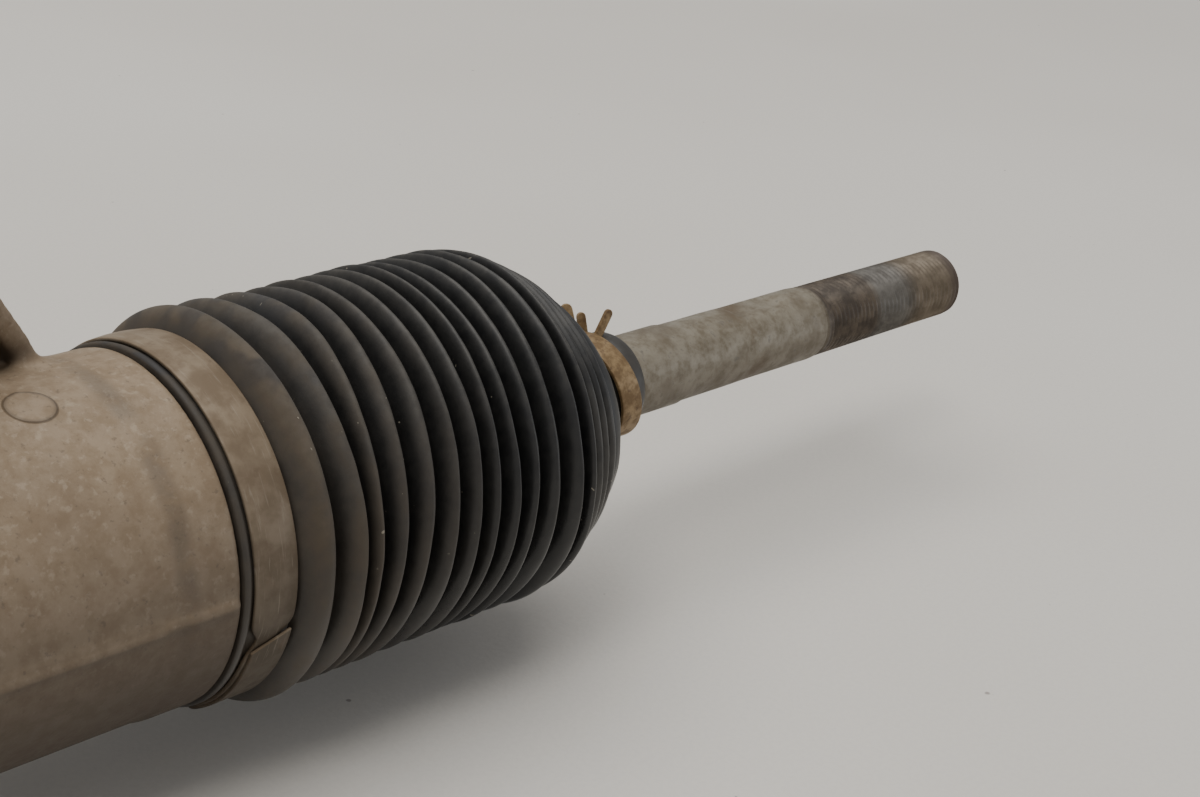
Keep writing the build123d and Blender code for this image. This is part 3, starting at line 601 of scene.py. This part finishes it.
def bellows_outline(drawn_out):
    cuff = [(0.2, CUFF_BORE_R), (0.2, 30.1), (0.35, 30.4), (0.65, 30.6), (1.1, 30.6), (1.45, 30.45),
            (1.7, 30.25), (1.85, CUFF_TOP_R), (4.5, CUFF_TOP_R), (6.5, CUFF_TOP_R), (8.5, CUFF_TOP_R),
            (9.9, CUFF_TOP_R), (10.2, 29.9)]
    depths = [FIRST_VALLEY_DEPTH] + [VALLEY_DEPTH] * (len(FOLDS) - 2)
    folds = fold_profile([fold[:2] for fold in FOLDS], (10.4, 29.6), LAST_VALLEY, depths)
    shoulder = fold_profile(SHOULDER_FOLDS, LAST_VALLEY, DOME[0], [SHOULDER_DEPTH] * 2, 5)
    neck = [(101.4, 10.4), (102.5, 9.95), (104, 9.85), (107, 9.85), (109.6, 9.85), (110.1, 10.2),
            (110.8, 10.45), (113.2, 10.35), (114.0, 10.0), (114.3, 9.5), (114.3, NECK_BORE_R)]
    outer = cuff + [(10.4, 29.6)] + folds + shoulder + DOME[1:] + neck
    inner = []
    for before, here, after in zip(outer, outer[1:], outer[2:]):
        tangent = Vector((after[0] - before[0], after[1] - before[1])).normalized()
        depth = max(WALL, 1.6 * WALL * abs(tangent.y))
        inner.append((here[0], max(here[1] - depth, NECK_BORE_R)))
    inner = [(along, CUFF_BORE_R if along < CUFF_END + 0.3 else radius) for along, radius in inner]
    inner = [(along, NECK_BORE_R if along > 103 else radius) for along, radius in inner]
    inside = [point for point in inner if 1.5 < point[0] < 113.5]
    return [(drawn_place(along, drawn_out), radius) for along, radius in outer + list(reversed(inside))]


def bellows_warp(side):
    """Old rubber: the folds lean and are a little uneven, but true at the cuff and the neck."""
    drawn_out = stretch[side]
    neck = drawn_place(NECK_START, drawn_out)
    seed = 3.0 if side == "right" else 11.0
    leans = [(CUFF_END, Vector((0, 0)))]
    for place, radius, top, front in FOLDS:
        leans.append((drawn_place(place, drawn_out), Vector((top, front))))
    leans.append((drawn_place(88, drawn_out), Vector((-0.5, 1.0))))
    leans.append((neck - 2, Vector((0, 0))))

    def warp(along, angle):
        free = min(1.0, max(0.0, (along - 12) / 8)) * min(1.0, max(0.0, (neck - along) / 12))
        place = Vector((along * 0.09 + seed, 1.3 * math.cos(angle), 1.3 * math.sin(angle)))
        lean = between(along, leans)
        turned = lean.x * math.sin(angle) - lean.y * math.cos(angle)
        uneven = free * (0.45 * noise.noise(place) + 0.10 * noise.noise(place * 6))
        return turned + uneven, 0.55 * free * noise.noise(place * 1.4 + Vector((7, 5, 2)))

    return warp


def hook(piece, body, shares):
    """The vertices follow a body by their shares of its movement."""
    group = piece.vertex_groups.new(name="follows_" + body)
    for index, share in enumerate(shares):
        group.add([index], share, "REPLACE")
    modifier = piece.modifiers.new(group.name, "HOOK")
    modifier.object = frame["bodies"][body]
    modifier.vertex_group = group.name
    modifier.falloff_type = "NONE"
    modifier.matrix_inverse = Matrix.Identity(4)


def hook_bellows(piece, side):
    """The bellows bends with the tie rod beyond the ball joint and is drawn along by the rack."""
    start = CUFF_END + 1
    end = NECK_START + stretch[side] - 3
    bend = []
    slide = []
    for vertex in piece.data.vertices:
        along = (vertex.co.x - seat_x[side]) / MM * (1 if side == "right" else -1)
        share = min(1.0, max(0.0, (along - start) / (end - start)))
        bent = min(share, between(along - ball_distance[side], BEND_SHARES))
        bend.append(bent)
        slide.append(share - bent)
    hook(piece, side + "_rod", bend)
    hook(piece, "rack", slide)


def build_bellows(side, material):
    mesh = lathe(side + "_boot", bellows_outline(stretch[side]), SEGMENTS, bellows_warp(side))
    piece = add_piece(side + "_boot", mesh, "housing", material, end_matrix(side), 60)
    hook_bellows(piece, side)
    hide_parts(side + "_bellows")


# Clamps

def strip(name, centre_line, half_width, thickness):
    """Strip of metal along a path of (point, outward, width direction), half_width(t) wide to each side."""
    bm = bmesh.new()
    rows = []
    count = len(centre_line)
    for index, (point, out, wide) in enumerate(centre_line):
        w = half_width(index / (count - 1))
        row = []
        for u, v in ((-w, 0), (-w, thickness), (w, thickness), (w, 0)):
            row.append(bm.verts.new((Vector(point) + Vector(wide) * u + Vector(out) * v) * MM))
        rows.append(row)
    for first, second in zip(rows, rows[1:]):
        for index in range(len(first)):
            after = (index + 1) % len(first)
            bm.faces.new((first[index], first[after], second[after], second[index]))
    bm.faces.new(rows[0])
    bm.faces.new(list(reversed(rows[-1])))
    return mesh_from(bm, name)


def arc_path(radius, start_deg, end_deg, along, steps, lift=None, slant=0.0):
    """Path round the rack axis; angles run from the top towards -Y. lift(t) adds to the radius."""
    path = []
    for index in range(steps + 1):
        t = index / steps
        angle = math.radians(start_deg + (end_deg - start_deg) * t)
        out = Vector((0, -math.sin(angle), math.cos(angle)))
        r = radius + (lift(t) if lift else 0)
        onward = Vector((0, -math.cos(angle), -math.sin(angle)))
        path.append((out * r + Vector((along, 0, 0)), out, Vector((1, 0, 0)) - slant * onward))
    return path


def bevelled(piece, width):
    """Small rounded edges on a piece or on a CAD node."""
    bevel = piece.modifiers.new("edges", "BEVEL")
    bevel.width = width
    bevel.segments = 2
    bevel.limit_method = "ANGLE"
    bevel.angle_limit = math.radians(35)
    bevel.harden_normals = False


LARGE_BAND_MIDDLE = 6.0
LARGE_BAND_HALF = 4.1
LARGE_BAND_R = 30.28
LARGE_BAND_TOP_R = 31.0
PINCH_FROM_TOP = 106            # degrees from the top, where the band is pinched and its tail begins
TAIL_LENGTH = 50
EAR_START = 72
EAR_LENGTH = 9


def build_large_clamp(side, material):
    """Band whose tail lies over itself, with a crimp underneath."""
    start = LARGE_BAND_MIDDLE - LARGE_BAND_HALF
    end = LARGE_BAND_MIDDLE + LARGE_BAND_HALF
    outline = [(start, LARGE_BAND_R), (start, LARGE_BAND_TOP_R), (LARGE_BAND_MIDDLE - 1.2, 31.25),
               (LARGE_BAND_MIDDLE + 1.2, 31.25), (end, LARGE_BAND_TOP_R), (end, LARGE_BAND_R)]

    def dent(along, angle):
        from_top = math.degrees(math.atan2(-math.cos(angle), math.sin(angle)))
        pinch = math.exp(-((from_top - PINCH_FROM_TOP) / 4.0) ** 2)
        inward = 0.42 * (LARGE_BAND_MIDDLE - along) * pinch
        wavy = noise.noise(Vector((1.5 * math.cos(angle), 1.5 * math.sin(angle), 4)))
        return inward, -0.35 * pinch + 0.12 * wavy

    def tail_half(t):
        return LARGE_BAND_HALF - 0.55 - 1.6 * max(0.0, (t - 0.8) / 0.2) ** 2

    def ear_rise(t):
        return 1.7 * math.sin(math.pi * t) ** 0.6

    def ear_half(t):
        return LARGE_BAND_HALF - 0.5 - 0.6 * math.sin(math.pi * t)

    place = end_matrix(side)
    mesh = lathe(side + "_clamp_band", rounded(outline, 0.3, 3), BAND_SEGMENTS, dent)
    band = add_piece(side + "_clamp_band", mesh, "housing", material, place, 50)
    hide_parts(side + "_large_clamp")
    tail_path = arc_path(LARGE_BAND_TOP_R, PINCH_FROM_TOP, PINCH_FROM_TOP + TAIL_LENGTH,
                         LARGE_BAND_MIDDLE, 36, slant=0.40)
    ear_from = PINCH_FROM_TOP + EAR_START
    ear_path = arc_path(31.3, ear_from, ear_from + EAR_LENGTH, LARGE_BAND_MIDDLE, 14, ear_rise)
    tail = strip(side + "_clamp_tail", tail_path, tail_half, 0.55)
    ear = strip(side + "_clamp_ear", ear_path, ear_half, 0.8)
    for mesh in (tail, ear):
        piece = add_piece(mesh.name, mesh, "housing", material, place)
        bevelled(piece, 0.15 * MM)


SMALL_BAND_R = 10.42
SMALL_BAND_THICKNESS = 0.85
SMALL_BAND_HALF = 2.75
SMALL_BAND_MIDDLE = 108.6
SMALL_BAND_LEAN = 2.4           # the band sits further out underneath than on top
# Upstanding ears: seat distance, degrees from the top towards the front, width, height, lean outwards, turn
EARS = [
    (106.4, -24, 2.5, 6.3, -2, -30),
    (108.9, -20, 1.9, 4.0, 0, -24),
    (110.0, -3, 1.9, 5.2, 32, -8),
]
EAR_THICKNESS = 0.8


def tab_mesh(name, middle, angle_deg, width, height, lean_deg, along_turn_deg):
    """Upstanding ear with a rounded top, standing on the neck."""
    bm = bmesh.new()
    outline = [(-width / 2, -1.6), (width / 2, -1.6), (width / 2, height - width / 2)]
    for step in range(1, 8):
        a = math.pi * step / 8
        outline.append((width / 2 * math.cos(a), height - width / 2 + width / 2 * math.sin(a)))
    outline.append((-width / 2, height - width / 2))
    front = [bm.verts.new((u * MM, -EAR_THICKNESS / 2 * MM, v * MM)) for u, v in outline]
    back = [bm.verts.new((u * MM, EAR_THICKNESS / 2 * MM, v * MM)) for u, v in outline]
    bm.faces.new(front)
    bm.faces.new(list(reversed(back)))
    for index in range(len(outline)):
        after = (index + 1) % len(outline)
        bm.faces.new((front[index], front[after], back[after], back[index]))
    mesh = mesh_from(bm, name)
    stand = Matrix.Translation((0, 0, (SMALL_BAND_R + 0.7) * MM))
    stand = stand @ Matrix.Rotation(math.radians(lean_deg), 4, "Y")
    stand = stand @ Matrix.Rotation(math.radians(along_turn_deg), 4, "Z")
    round_neck = Matrix.Rotation(math.radians(angle_deg), 4, "X")
    mesh.transform(Matrix.Translation((middle * MM, 0, 0)) @ round_neck @ stand)
    return mesh


def build_small_clamp(side, material):
    middle = SMALL_BAND_MIDDLE + stretch[side]
    top = SMALL_BAND_R + SMALL_BAND_THICKNESS
    outline = rounded([(-SMALL_BAND_HALF, SMALL_BAND_R), (-SMALL_BAND_HALF, top),
                       (SMALL_BAND_HALF, top), (SMALL_BAND_HALF, SMALL_BAND_R)], 0.25, 3)
    outline = [(middle + along, radius) for along, radius in outline]

    def skewed(along, angle):
        lean = -SMALL_BAND_LEAN * math.sin(angle) - 0.6 * math.cos(angle)
        return lean, 0.05 * math.sin(2 * angle)

    body = side + "_rod"
    place = end_matrix(side)
    mesh = lathe(side + "_spring_band", outline, ROD_SEGMENTS, skewed)
    band = add_piece(side + "_spring_band", mesh, body, material, place, 50)
    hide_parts(side + "_small_clamp")
    for index, (along, angle, width, height, lean, turn) in enumerate(EARS):
        name = side + "_spring_ear_" + "abc"[index]
        mesh = tab_mesh(name, along + stretch[side], angle, width, height, lean, turn)
        piece = add_piece(name, mesh, body, material, place)
        bevelled(piece, 0.18 * MM)


# Tie rods

BALL_R = 14
SHANK_R = 8.5
SLIM_R = 8.2
THREAD_PITCH = 1.5
THREAD_START = 157.5
THREAD_END = 209.9
THREAD_R = 8.0
THREAD_DEPTH = 0.55
END_CHAMFER = 1.4
STEPS_PER_TURN = 6
FLATS = (130.0, 146.7, 7.3)     # start, end and half the width across them


def rod_outline():
    """From the ball to the chamfered end, with the shank's steps, in mm from the ball centre."""
    points = [(-11.5, 0), (-11.5, 8.0)]
    for step in range(1, 25):
        angle = math.radians(145 - 118 * step / 24)
        points.append((BALL_R * math.cos(angle), BALL_R * math.sin(angle)))
    points += [(14.5, 6.6), (18, 6.8), (21.5, 7.6), (24, SHANK_R)]
    points += [(26, SHANK_R), (60, SHANK_R), (86, SHANK_R), (92, 8.52), (100, SHANK_R), (110.2, SHANK_R)]
    points += [(111.6, 8.22), (118, SLIM_R), (126, SLIM_R)]
    points += [(129.5 + 1.3 * index, SLIM_R) for index in range(14)]
    points += [(149, SLIM_R), (154.5, 8.22), (156.2, 8.1), (157.0, 7.7)]
    return points


def build_tie_rod(side, material):
    """Shank with two flats, and a helical thread cut into the last stretch."""
    outline = rod_outline()
    length = THREAD_END - THREAD_START
    count = int(length / THREAD_PITCH * STEPS_PER_TURN)
    outline += [(THREAD_START + length * index / count, THREAD_R) for index in range(count + 1)]
    outline += [(THREAD_END, 5.0), (THREAD_END, 0)]

    def cut(along, angle):
        if along < THREAD_START:
            return 0, 0
        if along > THREAD_END - 0.01:
            return 0, -1.2
        phase = (along / THREAD_PITCH - angle / (2 * math.pi)) % 1.0
        groove = abs(phase * 2 - 1)
        fade = min(1.0, (along - THREAD_START) / 2.5)
        end_chamfer = max(0.0, along - (THREAD_END - END_CHAMFER)) * 0.9
        return 0, -THREAD_DEPTH * fade * groove - end_chamfer

    mesh = lathe(side + "_rod_shank", outline, ROD_SEGMENTS, cut)
    start, end, half = FLATS
    along_values = mesh.attributes.new("along", "FLOAT", "POINT")
    for vertex in mesh.vertices:
        along = vertex.co.x / MM
        along_values.data[vertex.index].value = vertex.co.x
        run_out = min(1.0, max(0.0, min(along - start, end - along) / 2.0))
        limit = (SLIM_R - (SLIM_R - half) * math.sin(run_out * math.pi / 2)) * MM
        if start < along < end:
            vertex.co.z = max(-limit, min(limit, vertex.co.z))
        if 24 < along < 157:
            wear = 0.10 * MM * noise.noise(Vector((along * 0.12, vertex.co.y * 220, vertex.co.z * 220)))
            vertex.co.y += wear * vertex.co.y / (8 * MM)
            vertex.co.z += wear * vertex.co.z / (8 * MM)
    ball = Matrix.Translation((ball_distance[side] * MM, 0, 0))
    place = end_matrix(side) @ ball
    piece = add_piece(side + "_rod_shank", mesh, side + "_rod", material, place, 50)
    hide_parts(side + "_tie_rod")


# Castings: the CAD casting remeshed, so that its corners are soft as cast

COLLAR_R = 30.0
COLLAR_EDGE = 0.9
COLLAR_START = -4
MISMATCH = 0.38                 # the lower mould half stands this much proud at the parting line
MISMATCH_FADE = 5.0
FLASH_HALF = 1.6                # the parting line's ridge stays as it is
CASTING_START = -110
ARM_START = -92
ARM_END = -5
VOXEL = 0.8 * MM
SMOOTHING = 6
FOOT_SMOOTHING = 16


def soften(mesh, rounds, weight):
    """Moves every vertex towards the middle of its neighbours, as far as weight(place) says."""
    bm = bmesh.new()
    bm.from_mesh(mesh)
    shares = {vertex.index: weight(vertex.co) for vertex in bm.verts}
    moving = [vertex for vertex in bm.verts if shares[vertex.index] > 0]
    for _ in range(rounds):
        targets = []
        for vertex in moving:
            neighbours = [edge.other_vert(vertex).co for edge in vertex.link_edges]
            middle = sum(neighbours, Vector()) / len(neighbours)
            targets.append(vertex.co.lerp(middle, 0.6 * shares[vertex.index]))
        for vertex, target in zip(moving, targets):
            vertex.co = target
    bm.to_mesh(mesh)
    bm.free()


def foot_share(place):
    """1 at the foot of the lug's arm, where it meets the barrel, falling to 0 away from it."""
    up = (place.z - axis_height) / MM
    seat = abs(place.x) / MM - seat_x["right"] / MM
    radius = math.hypot(place.y / MM, up)
    if not (ARM_START < seat < ARM_END and up > 5 and -2 < place.y / MM < 30):
        return 0.0
    away = abs(radius - BARREL_R) / 5.0
    edge = min(1.0, (ARM_END - seat) / 2)
    return max(0.0, 1 - away) * edge


def true_collar(mesh):
    """Gives the collar at the boot seat its turned edge: a clean corner of a small radius."""
    for vertex in mesh.vertices:
        up = (vertex.co.z - axis_height) / MM
        radius = math.hypot(vertex.co.y / MM, up)
        seat = (abs(vertex.co.x) - seat_x["right"]) / MM
        if not (COLLAR_START < seat < 0.6 and COLLAR_R - 2 < radius < COLLAR_R + 0.8):
            continue
        past = max(0.0, seat + COLLAR_EDGE)
        over = max(0.0, radius - COLLAR_R + COLLAR_EDGE)
        far = math.hypot(past, over)
        if past and over:
            seat += past * (COLLAR_EDGE / far - 1)
            grow = (radius + over * (COLLAR_EDGE / far - 1)) / radius
        elif past:
            seat = 0.0
            grow = 1.0
        elif abs(up) > FLASH_HALF:
            grow = COLLAR_R / radius
        else:
            grow = 1.0
        vertex.co.x = math.copysign(seat_x["right"] + seat * MM, vertex.co.x)
        vertex.co.y *= grow
        vertex.co.z = axis_height + up * grow * MM


def mould_mismatch(mesh):
    """The lower mould half is a little larger than the upper one, so the parting line has a ledge."""
    for vertex in mesh.vertices:
        up = (vertex.co.z - axis_height) / MM
        radius = math.hypot(vertex.co.y / MM, up)
        seat = (abs(vertex.co.x) - seat_x["right"]) / MM
        if up < 0 and BARREL_R - 6 < radius < BARREL_R + 1.5 and CASTING_START < seat < -0.3:
            grow = 1 + MISMATCH * math.exp(up / MISMATCH_FADE) / radius
            vertex.co.y *= grow
            vertex.co.z = axis_height + up * grow * MM


def build_casting(node, material):
    source = frame["nodes"][node]
    mesh = source.data.copy()
    mesh.materials.clear()
    piece = bpy.data.objects.new(node + "_cast", mesh)
    bpy.context.scene.collection.objects.link(piece)
    remesh = piece.modifiers.new("remesh", "REMESH")
    remesh.mode = "VOXEL"
    remesh.voxel_size = VOXEL
    smooth = piece.modifiers.new("smooth", "SMOOTH")
    smooth.factor = 0.5
    smooth.iterations = SMOOTHING
    depsgraph = bpy.context.evaluated_depsgraph_get()
    result = bpy.data.meshes.new_from_object(piece.evaluated_get(depsgraph))
    bpy.data.objects.remove(piece)
    soften(result, FOOT_SMOOTHING, foot_share)
    true_collar(result)
    mould_mismatch(result)
    casting = add_piece(node + "_cast", result, "housing", material, None, 180)
    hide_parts(node)


SERRATIONS = 36
SERRATION_R = 8.0
SERRATION_HEIGHT = 0.35


def build_serrations(material):
    """Fine teeth round the input end of the pinion shaft, where the steering column's coupling clamps."""
    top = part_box("pinion_shaft")[1].z / MM
    axis_x, axis_y = record_joints["pinion_turn"]["pos_m"][:2]
    bm = bmesh.new()
    rings = []
    for height, rise in ((top - 27, -0.2), (top - 25.5, 1), (top - 2.4, 1), (top - 1.0, -0.2)):
        ring = []
        for index in range(2 * SERRATIONS):
            angle = math.pi * index / SERRATIONS
            tooth = 1 if index % 2 == 0 else 0
            radius = (SERRATION_R - 0.05 + SERRATION_HEIGHT * tooth * rise) * MM
            x = axis_x + radius * math.cos(angle)
            y = axis_y + radius * math.sin(angle)
            ring.append(bm.verts.new((x, y, height * MM)))
        rings.append(ring)
    for first, second in zip(rings, rings[1:]):
        for index in range(2 * SERRATIONS):
            after = (index + 1) % (2 * SERRATIONS)
            bm.faces.new((first[index], first[after], second[after], second[index]))
    bm.faces.new(list(reversed(rings[0])))
    bm.faces.new(rings[-1])
    mesh = mesh_from(bm, "input_serrations")
    add_piece("input_serrations", mesh, "pinion", material, None, 25)


def paint(node, material, bevel=0.0):
    obj = frame["nodes"][node]
    obj.data.materials.clear()
    obj.data.materials.append(material)
    if bevel:
        bevelled(obj, bevel)


add_camera()
add_surroundings()

cast = cast_material()
rubber = bellows_material()
band_metal = band_material()
brass = brass_material()
zinc = rod_material()
ground = steel_material("ground_steel", (0.30, 0.29, 0.27), (0.46, 0.45, 0.43), 0.9, 60, 0.25, 0.40)
bearing = steel_material("bearing_steel", (0.42, 0.42, 0.43), (0.55, 0.55, 0.56), 1.0, 90, 0.12, 0.22)
pressed = steel_material("pressed_steel", (0.28, 0.26, 0.23), (0.40, 0.38, 0.34), 0.85, 120, 0.35, 0.50)
spring = steel_material("spring_steel", (0.06, 0.06, 0.06), (0.12, 0.12, 0.12), 0.8, 150, 0.35, 0.50)
plated = steel_material("plated_steel", (0.24, 0.20, 0.14), (0.42, 0.38, 0.30), 0.7, 70, 0.38, 0.58)
tube_paint = steel_material("tube_steel", (0.020, 0.019, 0.018), (0.045, 0.040, 0.034), 0.1, 55, 0.38, 0.60)
plastic = rubber_material("bush_plastic", (0.62, 0.58, 0.48), (0.48, 0.41, 0.30), 140)
cover = rubber_material("cover_plastic", (0.016, 0.016, 0.016), (0.070, 0.060, 0.048), 70)
seal = rubber_material("seal_rubber", (0.012, 0.012, 0.012), (0.045, 0.040, 0.034), 120)
mount_rubber = rubber_material("mount_rubber", (0.014, 0.013, 0.012), (0.075, 0.062, 0.048), 60)

SLOT_MATERIALS = {
    "cast_aluminium": cast, "ground_steel": ground, "bearing_steel": bearing, "pressed_steel": pressed,
    "spring_steel": spring, "plated_steel": plated, "tube_steel": tube_paint, "zinc_steel": zinc,
    "bush_plastic": plastic, "cover_plastic": cover, "seal_rubber": seal, "mount_rubber": mount_rubber,
    "bellows_rubber": rubber, "clamp_band": band_metal, "brass_clamp": brass,
}
ROUNDED_NODES = {
    "saddle_bush": 0.8, "yoke_plug": 0.6, "yoke_lock_nut": 0.6, "lower_plug": 0.5, "pinion_dust_cover": 0.5,
    "left_mount_bush": 0.6, "right_mount_bush": 0.6, "left_mount_sleeve": 0.4, "right_mount_sleeve": 0.4,
}
for entry in frame["record"]["subparts"]:
    paint(entry["node"], SLOT_MATERIALS[entry["material_slot"]], ROUNDED_NODES.get(entry["node"], 0.0) * MM)

for casting_node in ("pinion_housing", "end_housing"):
    build_casting(casting_node, cast)
for end_side in ("right", "left"):
    build_bellows(end_side, rubber)
    build_large_clamp(end_side, band_metal)
    build_small_clamp(end_side, brass)
    build_tie_rod(end_side, zinc)

build_serrations(ground)
